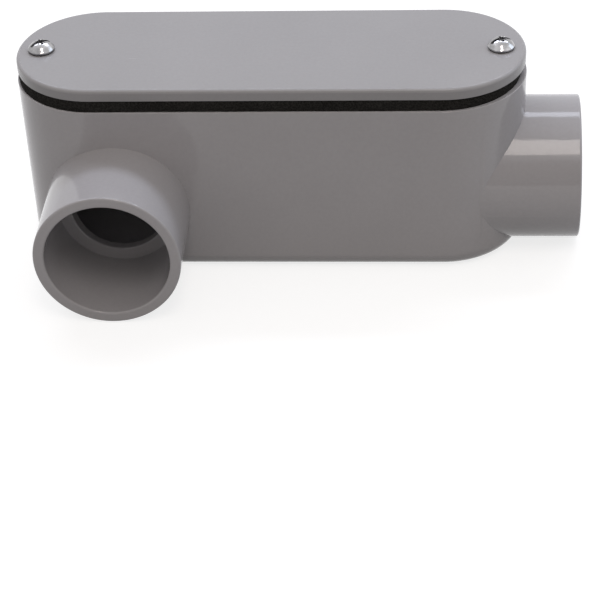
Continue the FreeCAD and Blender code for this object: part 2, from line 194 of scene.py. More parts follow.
# Node helpers

def add(tree, kind, inputs=None, **settings):
    """Add a node, set its settings, and fill its inputs from values or from other sockets."""
    node = tree.nodes.new(kind)
    for key, value in settings.items():
        setattr(node, key, value)
    for key, value in (inputs or {}).items():
        sources = value if isinstance(value, list) else [value]
        for source in sources:
            if isinstance(source, bpy.types.NodeSocket):
                tree.links.new(source, node.inputs[key])
            else:
                node.inputs[key].default_value = source
    return node


def calc(tree, operation, first, second=0.0, third=0.0):
    """The result of one Math node."""
    node = add(tree, "ShaderNodeMath", {0: first, 1: second, 2: third}, operation=operation)
    return node.outputs[0]


def new_geometry_tree(name, sizes):
    """A geometry tree with one named input for each size, and its input and output nodes."""
    tree = bpy.data.node_groups.new(name, "GeometryNodeTree")
    for label, kind in sizes:
        tree.interface.new_socket(label, in_out="INPUT", socket_type="NodeSocket" + kind)
    tree.interface.new_socket("Geometry", in_out="OUTPUT", socket_type="NodeSocketGeometry")
    return tree, tree.nodes.new("NodeGroupInput").outputs


def close_tree(tree, geometry, material):
    """End a tree in Realize Instances and Set Material."""
    real = add(tree, "GeometryNodeRealizeInstances", {"Geometry": geometry}).outputs[0]
    painted = add(tree, "GeometryNodeSetMaterial", {"Geometry": real, "Material": material})
    add(tree, "NodeGroupOutput", {"Geometry": painted.outputs[0]})


def grow(name, tree, values):
    """Run a geometry tree with these input values and keep the result as a plain mesh."""
    obj = bpy.data.objects.new(name, bpy.data.meshes.new(name))
    bpy.context.scene.collection.objects.link(obj)
    modifier = obj.modifiers.new(tree.name, "NODES")
    modifier.node_group = tree
    sockets = {item.name: item.identifier for item in tree.interface.items_tree
               if item.item_type == "SOCKET" and item.in_out == "INPUT"}
    for label, value in values.items():
        modifier[sockets[label]] = value
    settle(obj)
    return obj


# Mesh helpers

def settle(obj):
    """Apply every modifier of an object."""
    graph = bpy.context.evaluated_depsgraph_get()
    graph.update()
    finished = bpy.data.meshes.new_from_object(
        obj.evaluated_get(graph), preserve_all_data_layers=True, depsgraph=graph)
    obj.modifiers.clear()
    old = obj.data
    obj.data = finished
    bpy.data.meshes.remove(old)
    finished.name = obj.name


def loft(name, rings):
    """A closed solid through rings of points, each with the same number of points."""
    shape = bmesh.new()
    rows = [[shape.verts.new(point) for point in ring] for ring in rings]
    around = len(rows[0])
    for lower, upper in zip(rows, rows[1:]):
        for step in range(around):
            following = (step + 1) % around
            shape.faces.new((lower[step], lower[following], upper[following], upper[step]))
    shape.faces.new(rows[0])
    shape.faces.new(rows[-1])
    bmesh.ops.recalc_face_normals(shape, faces=shape.faces)
    mesh = bpy.data.meshes.new(name)
    shape.to_mesh(mesh)
    shape.free()
    obj = bpy.data.objects.new(name, mesh)
    bpy.context.scene.collection.objects.link(obj)
    return obj


def oblong_ring(round_centre, radius, height, steps=END_FACETS):
    """Points round an oblong, half a turn about each of its two round centres."""
    points = []
    for side, start in ((1, -0.5), (-1, 0.5)):
        centre = side * round_centre
        for step in range(steps + 1):
            turn = math.pi * (step / steps + start)
            points.append((centre + radius * math.cos(turn), radius * math.sin(turn), height))
    return points


def segment_ring(chord, round_centre, radius, height, steps=CHORD_FACETS):
    """Points round the part of a circle that lies beyond an upright chord."""
    half_turn = math.acos((chord - round_centre) / radius)
    turns = [half_turn * (2 * step / steps - 1) for step in range(steps + 1)]
    return [(round_centre + radius * math.cos(turn), radius * math.sin(turn), height) for turn in turns]


def lathe(name, profile, place, steps=HUB_FACETS):
    """A solid turned about an axis; place maps (distance, across, up) into the frame."""
    rings = []
    for distance, radius in profile:
        ring = []
        for step in range(steps):
            turn = FULL_TURN * step / steps
            ring.append(place(distance, radius * math.cos(turn), radius * math.sin(turn)))
        rings.append(ring)
    return loft(name, rings)


def upright(station):
    """The place of a lathe whose axis stands upright at a station along the body."""
    return lambda height, across, along: (station + across, along, height)


def arc(centre_x, centre_y, radius, first, last, steps=6):
    """Points on an arc between two angles in degrees."""
    turns = [math.radians(first + (last - first) * step / steps) for step in range(steps + 1)]
    return [(centre_x + radius * math.cos(turn), centre_y + radius * math.sin(turn)) for turn in turns]


def turned(points):
    """(radius, distance) points as the (distance, radius) pairs that a lathe takes."""
    return [(distance, radius) for radius, distance in points]


def combine(obj, steps):
    """Join or cut the object with other solids, in order, and remove those solids."""
    for operation, tool in steps:
        modifier = obj.modifiers.new(tool.name, "BOOLEAN")
        modifier.operation = operation
        modifier.solver = "EXACT"
        modifier.object = tool
        settle(obj)
        bpy.data.objects.remove(tool)


def finish_mesh(obj, sharp_angle=32.0):
    """Weld, shade smooth up to an angle, and let the large faces set the normals."""
    shape = bmesh.new()
    shape.from_mesh(obj.data)
    bmesh.ops.remove_doubles(shape, verts=shape.verts, dist=WELD)
    shape.to_mesh(obj.data)
    shape.free()
    obj.data.shade_smooth()
    obj.data.set_sharp_from_angle(angle=math.radians(sharp_angle))
    modifier = obj.modifiers.new("even_normals", "WEIGHTED_NORMAL")
    modifier.keep_sharp = True
    settle(obj)


def hand_over(obj, material, body, node):
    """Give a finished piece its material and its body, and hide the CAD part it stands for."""
    obj.data.materials.clear()
    obj.data.materials.append(material)
    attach(obj, body)
    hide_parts(node)


# Materials

def new_material(name):
    material = bpy.data.materials.new(name)
    material.use_nodes = True
    material.node_tree.nodes.clear()
    return material, material.node_tree


def noise(tree, vector, scale, detail=2.0, roughness=0.5):
    node = add(tree, "ShaderNodeTexNoise",
               {"Vector": vector, "Scale": scale, "Detail": detail, "Roughness": roughness})
    return node.outputs[0]


def spread(tree, value, low, high):
    """Map a noise value from its usual range to low and high."""
    node = add(tree, "ShaderNodeMapRange",
               {"Value": value, "From Min": 0.25, "From Max": 0.75, "To Min": low, "To Max": high})
    return node.outputs[0]


def tinted(tree, base, factor):
    """A colour times a factor that varies over the surface."""
    node = add(tree, "ShaderNodeMix", {0: 1.0, 6: (*base, 1.0)}, data_type="RGBA", blend_type="MULTIPLY")
    grey = add(tree, "ShaderNodeCombineColor", {0: factor, 1: factor, 2: factor})
    tree.links.new(grey.outputs[0], node.inputs[7])
    return node.outputs[2]


def moulded_plastic(name, base, roughness, painted_shade_below=0.0, painted_shade_factor=1.0):
    """Rigid PVC: faint clouds and specks, a slightly rippled satin skin, fine scuffs.

    Below a given height the colour is darkened by a given factor: painted shade on a side that gets less
    light.
    """
    painted_shade_fade = 0.5 * MM
    scuff_paleness = 0.02
    scuff_roughness = 0.04
    patchy_roughness = 0.02
    material, tree = new_material(name)
    place = add(tree, "ShaderNodeTexCoord").outputs["Object"]
    height = add(tree, "ShaderNodeSeparateXYZ", {0: place}).outputs[2]
    # Painted shade: the colour is darkened below the given height and fades back over half a millimetre
    # above it.
    painted_shade = add(tree, "ShaderNodeMapRange", {
        "Value": height, "From Min": painted_shade_below, "From Max": painted_shade_below + painted_shade_fade,
        "To Min": painted_shade_factor, "To Max": 1.0}).outputs[0]
    clouds = spread(tree, noise(tree, place, scale=24.0), low=0.965, high=1.03)
    specks = spread(tree, noise(tree, place, scale=900.0, detail=3.0), low=0.975, high=1.025)
    along = add(tree, "ShaderNodeMapping", {
        "Vector": place, "Rotation": (0.2, 0.1, 0.35), "Scale": (14.0, 620.0, 620.0)}).outputs[0]
    scuffs = add(tree, "ShaderNodeMapRange", {
        "Value": noise(tree, along, scale=1.0, detail=1.0), "From Min": 0.70, "From Max": 0.76,
        "To Min": 0.0, "To Max": 1.0}).outputs[0]
    patches = spread(tree, noise(tree, place, scale=45.0), low=0.0, high=1.0)
    scuffs = calc(tree, "MULTIPLY", scuffs, patches)
    brightness = calc(tree, "MULTIPLY", calc(tree, "MULTIPLY", clouds, specks), painted_shade)
    brightness = calc(tree, "MULTIPLY_ADD", scuffs, scuff_paleness, brightness)
    ripple = noise(tree, place, scale=380.0, detail=1.0)
    grain = noise(tree, place, scale=2400.0)
    uneven = spread(tree, noise(tree, place, scale=120.0), low=-1.0, high=1.0)
    gloss = calc(tree, "MULTIPLY_ADD", uneven, patchy_roughness, roughness)
    gloss = calc(tree, "MULTIPLY_ADD", scuffs, scuff_roughness, gloss)
    skin = add(tree, "ShaderNodeBump", {"Strength": 0.05, "Distance": 0.0004, "Height": ripple})
    skin = add(tree, "ShaderNodeBump", {
        "Strength": 0.08, "Distance": 0.00005, "Height": grain, "Normal": skin.outputs[0]})
    surface = add(tree, "ShaderNodeBsdfPrincipled", {
        "Base Color": tinted(tree, base, brightness), "Roughness": gloss, "IOR": 1.5,
        "Specular IOR Level": 0.28, "Normal": skin.outputs[0]})
    add(tree, "ShaderNodeOutputMaterial", {"Surface": surface.outputs[0]})
    return material


def closed_cell_foam(name, base):
    """Black foam: cut cells of about half a millimetre with paler walls."""
    warp_share = 0.0006
    material, tree = new_material(name)
    place = add(tree, "ShaderNodeTexCoord").outputs["Object"]
    warp = add(tree, "ShaderNodeTexNoise", {"Vector": place, "Scale": 900.0}).outputs[1]
    bent = add(tree, "ShaderNodeMix", {0: warp_share, 4: place, 5: warp}, data_type="VECTOR").outputs[1]
    cells = add(tree, "ShaderNodeTexVoronoi", {"Vector": bent, "Scale": 1900.0}, feature="F1")
    depth = cells.outputs["Distance"]
    walls = spread(tree, depth, low=0.75, high=1.9)
    clouds = spread(tree, noise(tree, place, scale=160.0, detail=3.0), low=0.8, high=1.2)
    brightness = calc(tree, "MULTIPLY", walls, clouds)
    pits = add(tree, "ShaderNodeBump", {"Strength": 0.8, "Distance": 0.00025, "Height": depth})
    rough = add(tree, "ShaderNodeBump", {
        "Strength": 0.5, "Distance": 0.0004, "Height": noise(tree, place, scale=700.0, detail=3.0),
        "Normal": pits.outputs[0]})
    surface = add(tree, "ShaderNodeBsdfPrincipled", {
        "Base Color": tinted(tree, base, brightness),
        "Roughness": spread(tree, depth, low=1.0, high=0.85), "IOR": 1.45,
        "Specular IOR Level": 0.05, "Normal": rough.outputs[0]})
    add(tree, "ShaderNodeOutputMaterial", {"Surface": surface.outputs[0]})
    return material


def bright_zinc(name, base, roughness, head_side):
    """Zinc plating: uneven crystals and stains, painted shade and more roughness down in the recess,
    painted shadow where the head meets the cover.
    """
    clear_of_skin = 0.1 * MM
    recess_reach = 0.85  # share of the head's radius
    # how far painted shade darkens the colour down in the recess
    recess_painted_shade = 0.45
    recess_roughness = 0.3
    patchy_roughness = 0.05
    material, tree = new_material(name)
    place = add(tree, "ShaderNodeTexCoord").outputs["Object"]
    x, y, z = add(tree, "ShaderNodeSeparateXYZ", {0: place}).outputs
    along = calc(tree, "SUBTRACT", calc(tree, "ABSOLUTE", x), SCREW_STATION)
    away = calc(tree, "SQRT", calc(tree, "MULTIPLY_ADD", along, along, calc(tree, "MULTIPLY", y, y)))
    reach = calc(tree, "DIVIDE", away, RIGHT_HIGH.x - SCREW_STATION)
    rise = RIGHT_HIGH.z - COVER_HIGH.z - head_side
    dome = calc(tree, "MULTIPLY_ADD", calc(tree, "POWER", reach, CROWN_POWER), -rise, RIGHT_HIGH.z)
    sunk = add(tree, "ShaderNodeMapRange", {
        "Value": calc(tree, "SUBTRACT", dome, z),
        "From Min": clear_of_skin, "From Max": 0.9 * MM}).outputs[0]
    in_head = calc(tree, "MULTIPLY", calc(tree, "LESS_THAN", reach, recess_reach),
                   calc(tree, "GREATER_THAN", z, COVER_HIGH.z + clear_of_skin))
    # Painted shade in the recess: this mask darkens the colour there and also makes it rougher.
    recess_painted_shade_mask = calc(tree, "MULTIPLY", sunk, in_head)
    stains = spread(tree, noise(tree, place, scale=320.0, detail=3.0), low=0.42, high=1.12)
    brightness = calc(tree, "MULTIPLY", stains, calc(tree, "MULTIPLY_ADD", recess_painted_shade_mask, -recess_painted_shade, 1.0))
    # Painted shadow: the colour is darkened close to the cover's top, along the foot of the head.
    seat_painted_shadow = add(tree, "ShaderNodeMapRange", {
        "Value": calc(tree, "ABSOLUTE", calc(tree, "SUBTRACT", z, COVER_HIGH.z)),
        "From Min": 0.35 * MM, "From Max": 0.75 * MM, "To Min": 0.12, "To Max": 1.0}).outputs[0]
    brightness = calc(tree, "MULTIPLY", brightness, seat_painted_shadow)
    crystals = noise(tree, place, scale=3200.0)
    dents = noise(tree, place, scale=620.0, detail=1.0)
    uneven = spread(tree, noise(tree, place, scale=900.0), low=-1.0, high=1.0)
    gloss = calc(tree, "MULTIPLY_ADD", uneven, patchy_roughness, roughness)
    gloss = calc(tree, "MULTIPLY_ADD", recess_painted_shade_mask, recess_roughness, gloss)
    skin = add(tree, "ShaderNodeBump", {"Strength": 0.4, "Distance": 0.0003, "Height": dents})
    skin = add(tree, "ShaderNodeBump", {
        "Strength": 0.2, "Distance": 0.00004, "Height": crystals, "Normal": skin.outputs[0]})
    surface = add(tree, "ShaderNodeBsdfPrincipled", {
        "Base Color": tinted(tree, base, brightness), "Metallic": 1.0, "Roughness": gloss,
        "Normal": skin.outputs[0]})
    add(tree, "ShaderNodeOutputMaterial", {"Surface": surface.outputs[0]})
    return material


# Housing

def side_wall(sizes, height):
    """Outside radius of the body's round ends at a height above the back."""
    return sizes.rim_radius - (HOUSING_HIGH.z - height) * math.tan(sizes.draft)


def outer_profile(sizes):
    """(radius, height) pairs from the back, round its edge, up the wall and over the rim."""
    slope = math.cos(sizes.draft)
    lean = math.degrees(sizes.draft)
    back = sizes.back_round
    rim = sizes.rim_round
    top = HOUSING_HIGH.z
    profile = arc(side_wall(sizes, back) - back / slope, back, back, -90, -lean, steps=12)
    profile += arc(side_wall(sizes, top - rim) - rim / slope, top - rim, rim, -lean, 90, steps=5)
    return profile


def chamber_profile(sizes):
    """(radius, height) pairs of the hollow from its floor to just over the rim."""
    over = HOUSING_HIGH.z + sizes.wall
    edge = sizes.floor_round
    radius = side_wall(sizes, sizes.floor + edge) - sizes.wall
    lower = arc(radius - edge, sizes.floor + edge, edge, -90, 0)
    return lower + [(side_wall(sizes, over) - sizes.wall, over)]


def hub_profile(sizes, inner, mouth):
    """(distance, radius) pairs along a hub's outside."""
    edge = sizes.mouth_round
    rounded = arc(sizes.hub_radius - edge, mouth - edge, edge, 0, 90)
    return [(inner, sizes.hub_radius)] + turned(rounded)


def socket_profile(sizes, inner, mouth):
    """(distance, radius) pairs of the hollow of a socket, from the chamber out past the mouth."""
    stop = mouth - sizes.socket_depth
    edge = sizes.throat_round
    lip = sizes.lead_in
    throat = turned(arc(sizes.throat_radius + edge, stop - edge, edge, 180, 90, steps=5))
    mouth_lip = turned(arc(sizes.socket_radius + lip, mouth - lip, lip, 180, 90, steps=5))
    over = (mouth + sizes.wall, sizes.socket_radius + lip)
    return [(inner, sizes.throat_radius)] + throat + [(stop, sizes.socket_radius)] + mouth_lip + [over]


def make_housing(sizes):
    """The moulding: oblong body and two hubs, hollowed by the chamber and the sockets."""
    rim = HOUSING_HIGH.z
    hub_height = sizes.hub_radius + HUB_LIFT
    side_station = frame_mount("side_hub_socket")[0]
    end_mouth = HOUSING_HIGH.x
    side_mouth = -HOUSING_LOW.y

    def side_place(distance, across, up):
        return (side_station + across, -distance, hub_height + up)

    def end_place(distance, across, up):
        return (distance, across, hub_height + up)

    housing = loft("conduit_body_shell", [
        oblong_ring(sizes.round_centre, radius, height) for radius, height in outer_profile(sizes)])
    side_hub = lathe("side_hub", hub_profile(sizes, 0.0, side_mouth), side_place)
    chamber = loft("chamber", [
        oblong_ring(sizes.round_centre, radius, height) for radius, height in chamber_profile(sizes)])
    middle_of_wall = sizes.rim_radius - sizes.wall / 2
    end_wall = loft("end_wall", [
        segment_ring(sizes.chamber_end, sizes.round_centre, middle_of_wall, height)
        for height in (sizes.floor * STOP_WALL_ROOT, hub_height)])
    end_hub = lathe("end_hub", hub_profile(sizes, sizes.chamber_end, end_mouth), end_place)
    steps = [("UNION", side_hub), ("DIFFERENCE", chamber), ("UNION", end_wall), ("UNION", end_hub)]
    for station in (-SCREW_STATION, SCREW_STATION):
        boss = lathe("boss", [(sizes.floor / 2, sizes.boss_radius), (rim, sizes.boss_radius)],
                     upright(station), steps=BOSS_FACETS)
        steps.append(("UNION", boss))
    steps.append(("DIFFERENCE", lathe(
        "end_socket", socket_profile(sizes, sizes.chamber_end - sizes.wall, end_mouth), end_place)))
    steps.append(("DIFFERENCE", lathe(
        "side_socket", socket_profile(sizes, sizes.rim_radius / 2, side_mouth), side_place)))
    for station in (-SCREW_STATION, SCREW_STATION):
        hole = lathe("boss_hole", [(rim - sizes.boss_hole_depth, sizes.boss_hole_radius),
                                   (rim + sizes.wall, sizes.boss_hole_radius)],
                     upright(station), steps=HOLE_FACETS)
        steps.append(("DIFFERENCE", hole))
    combine(housing, steps)
    finish_mesh(housing)
    return housing


def frame_mount(name):
    """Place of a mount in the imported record, in metres."""
    return next(mount["pos_m"] for mount in frame["record"]["mounts"] if mount["name"] == name)


class CONDUIT_OT_housing(bpy.types.Operator):
    """Mould the housing: oblong body, two hubs, chamber, sockets and screw bosses"""
    bl_idname = "conduit.housing"
    bl_label = "Mould the Housing"

    def execute(self, context):
        sizes = context.scene.conduit_housing
        housing = make_housing(sizes)
        plastic = moulded_plastic("body_plastic", sizes.colour, sizes.roughness)
        hand_over(housing, plastic, "housing", "conduit_body")
        return {"FINISHED"}


# Cover

def make_cover(sizes):
    """The cover: a flat oblong plate with a rounded upper edge, hollow underneath."""
    radius = COVER_HIGH.y
    round_centre = COVER_HIGH.x - radius
    foot, top = COVER_LOW.z, COVER_HIGH.z
    profile = arc(radius - sizes.foot_round, foot + sizes.foot_round, sizes.foot_round, -90, 0, steps=4)
    profile += arc(radius - sizes.top_round, top - sizes.top_round, sizes.top_round, 0, 90, steps=10)
    cover = loft("cover_plate", [oblong_ring(round_centre, reach, height) for reach, height in profile])
    hollow_radius = radius - sizes.skirt
    hollow_centre = COVER_HIGH.x - sizes.end_pad - hollow_radius
    steps = [("DIFFERENCE", loft("hollow", [
        oblong_ring(hollow_centre, hollow_radius, height)
        for height in (foot - sizes.recess, foot + sizes.recess)]))]
    for station in (-SCREW_STATION, SCREW_STATION):
        hole = lathe("hole", [(foot - sizes.recess, sizes.hole_radius),
                              (top + sizes.recess, sizes.hole_radius)],
                     upright(station), steps=HOLE_FACETS)
        steps.append(("DIFFERENCE", hole))
    combine(cover, steps)
    finish_mesh(cover)
    return cover


class CONDUIT_OT_cover(bpy.types.Operator):
    """Mould the cover plate with its rounded edge, hollow and two screw holes"""
    bl_idname = "conduit.cover"
    bl_label = "Mould the Cover"

    def execute(self, context):
        sizes = context.scene.conduit_cover
        # The cover's side is darkened by painted shade from a depth under its top downwards.
        plastic = moulded_plastic(
            "cover_plastic", sizes.colour, sizes.roughness,
            painted_shade_below=COVER_HIGH.z - SIDE_PAINTED_SHADE_DEPTH, painted_shade_factor=sizes.side_painted_shade)
        hand_over(make_cover(sizes), plastic, "lid", "cover")
        return {"FINISHED"}


# Gasket

def gasket_tree():
    """A foam ring: four outlines filled, raised in rows, swollen and torn along the cut."""
    tree, size = new_geometry_tree("foam_ring", [
        ("Half Length", "Float"), ("Half Width", "Float"), ("Band", "Float"), ("End Band", "Float"),
        ("Centre", "Float"), ("Hole Radius", "Float"), ("Hole Station", "Float"), ("Foot", "Float"),
        ("Thickness", "Float"), ("Bulge", "Float"), ("Unevenness", "Float"), ("Step", "Float"),
        ("Seed", "Float"), ("Material", "Material")])
    rows = 6
    waviness = 0.6

    def oblong(half_length, half_width):
        """The outline, with fillets just short of the half width, so that its ends keep a length."""
        box = add(tree, "GeometryNodeCurvePrimitiveQuadrilateral", {
            "Width": calc(tree, "MULTIPLY", half_length, 2.0),
            "Height": calc(tree, "MULTIPLY", half_width, 2.0)})
        rounded = add(tree, "GeometryNodeFilletCurve", {
            "Curve": box.outputs[0], "Count": 48,
            "Radius": calc(tree, "MULTIPLY", half_width, 0.9999)}, mode="POLY")
        even = add(tree, "GeometryNodeResampleCurve", {
            "Curve": rounded.outputs[0], "Length": size["Step"]}, mode="LENGTH")
        placed = add(tree, "GeometryNodeTransform", {
            "Geometry": even.outputs[0],
            "Translation": add(tree, "ShaderNodeCombineXYZ", {"X": size["Centre"]}).outputs[0]})
        return placed.outputs[0]

    def hole(side):
        ring = add(tree, "GeometryNodeCurvePrimitiveCircle", {
            "Resolution": 40, "Radius": size["Hole Radius"]})
        station = calc(tree, "MULTIPLY", size["Hole Station"], side)
        return add(tree, "GeometryNodeTransform", {
            "Geometry": ring.outputs[0],
            "Translation": add(tree, "ShaderNodeCombineXYZ", {"X": station}).outputs[0]}).outputs[0]

    outer = oblong(size["Half Length"], size["Half Width"])
    inner = oblong(calc(tree, "SUBTRACT", size["Half Length"], size["End Band"]),
                   calc(tree, "SUBTRACT", size["Half Width"], size["Band"]))
    outlines = add(tree, "GeometryNodeJoinGeometry", {"Geometry": [outer, inner, hole(-1.0), hole(1.0)]})
    sheet = add(tree, "GeometryNodeFillCurve", {"Curve": outlines.outputs[0]}, mode="TRIANGLES")
    rise = calc(tree, "DIVIDE", size["Thickness"], float(rows))
    body, chosen = sheet.outputs[0], None
    for _ in range(rows):
        raised = add(tree, "GeometryNodeExtrudeMesh", {
            "Mesh": body, "Offset": (0.0, 0.0, 1.0), "Offset Scale": rise, "Individual": False},
            mode="FACES")
        if chosen is not None:
            tree.links.new(chosen, raised.inputs["Selection"])
        body, chosen = raised.outputs["Mesh"], raised.outputs["Top"]
    under = add(tree, "GeometryNodeFlipFaces", {"Mesh": sheet.outputs[0]})
    whole = add(tree, "GeometryNodeJoinGeometry", {"Geometry": [body, under.outputs[0]]})
    welded = add(tree, "GeometryNodeMergeByDistance", {"Geometry": whole.outputs[0], "Distance": 1e-6})

    point = tree.nodes.new("GeometryNodeInputPosition").outputs[0]
    height = calc(tree, "DIVIDE", add(tree, "ShaderNodeSeparateXYZ", {0: point}).outputs[2],
                  size["Thickness"])
    swell = calc(tree, "SINE", calc(tree, "MULTIPLY", height, math.pi))
    seeded = add(tree, "ShaderNodeVectorMath", {0: point, 1: add(
        tree, "ShaderNodeCombineXYZ", {"Z": size["Seed"]}).outputs[0]}, operation="ADD")
    torn = spread(tree, noise(tree, seeded.outputs[0], scale=420.0, detail=3.0), low=-1.0, high=0.35)
    wavy = spread(tree, noise(tree, seeded.outputs[0], scale=60.0, detail=1.0), low=-1.0, high=1.0)
    uneven = calc(tree, "MULTIPLY", calc(tree, "MULTIPLY_ADD", wavy, waviness, torn), size["Unevenness"])
    push = calc(tree, "MULTIPLY_ADD", swell, size["Bulge"], uneven)
    normal = tree.nodes.new("GeometryNodeInputNormal").outputs[0]
    flat_normal = add(tree, "ShaderNodeVectorMath", {0: normal, 1: (1.0, 1.0, 0.0)}, operation="MULTIPLY")
    offset = add(tree, "ShaderNodeVectorMath", {0: flat_normal.outputs[0]}, operation="SCALE")
    tree.links.new(push, offset.inputs["Scale"])
    moved = add(tree, "GeometryNodeSetPosition", {
        "Geometry": welded.outputs[0], "Offset": offset.outputs[0]})
    placed = add(tree, "GeometryNodeTransform", {
        "Geometry": moved.outputs[0],
        "Translation": add(tree, "ShaderNodeCombineXYZ", {"Z": size["Foot"]}).outputs[0]})
    close_tree(tree, placed.outputs[0], size["Material"])
    return tree


class CONDUIT_OT_gasket(bpy.types.Operator):
    """Cut the foam gasket, with its wide bands over the screw bosses"""
    bl_idname = "conduit.gasket"
    bl_label = "Cut the Gasket"

    def execute(self, context):
        sizes = context.scene.conduit_gasket
        foam = closed_cell_foam("gasket_foam", sizes.colour)
        gasket = grow("gasket_ring", gasket_tree(), {
            "Half Length": (GASKET_HIGH.x - GASKET_LOW.x) / 2,
            "Half Width": GASKET_HIGH.y,
            "Band": sizes.band,
            "End Band": sizes.end_band,
            "Centre": (GASKET_HIGH.x + GASKET_LOW.x) / 2,
            "Hole Radius": sizes.hole_radius,
            "Hole Station": SCREW_STATION,
            "Foot": GASKET_LOW.z,
            "Thickness": GASKET_HIGH.z - GASKET_LOW.z,
            "Bulge": sizes.bulge,
            "Unevenness": sizes.unevenness,
            "Step": sizes.step,
            "Seed": FOAM_SEED,
            "Material": foam,
        })
        finish_mesh(gasket, sharp_angle=50.0)
        hand_over(gasket, foam, "housing", "gasket")
        return {"FINISHED"}


# Screws

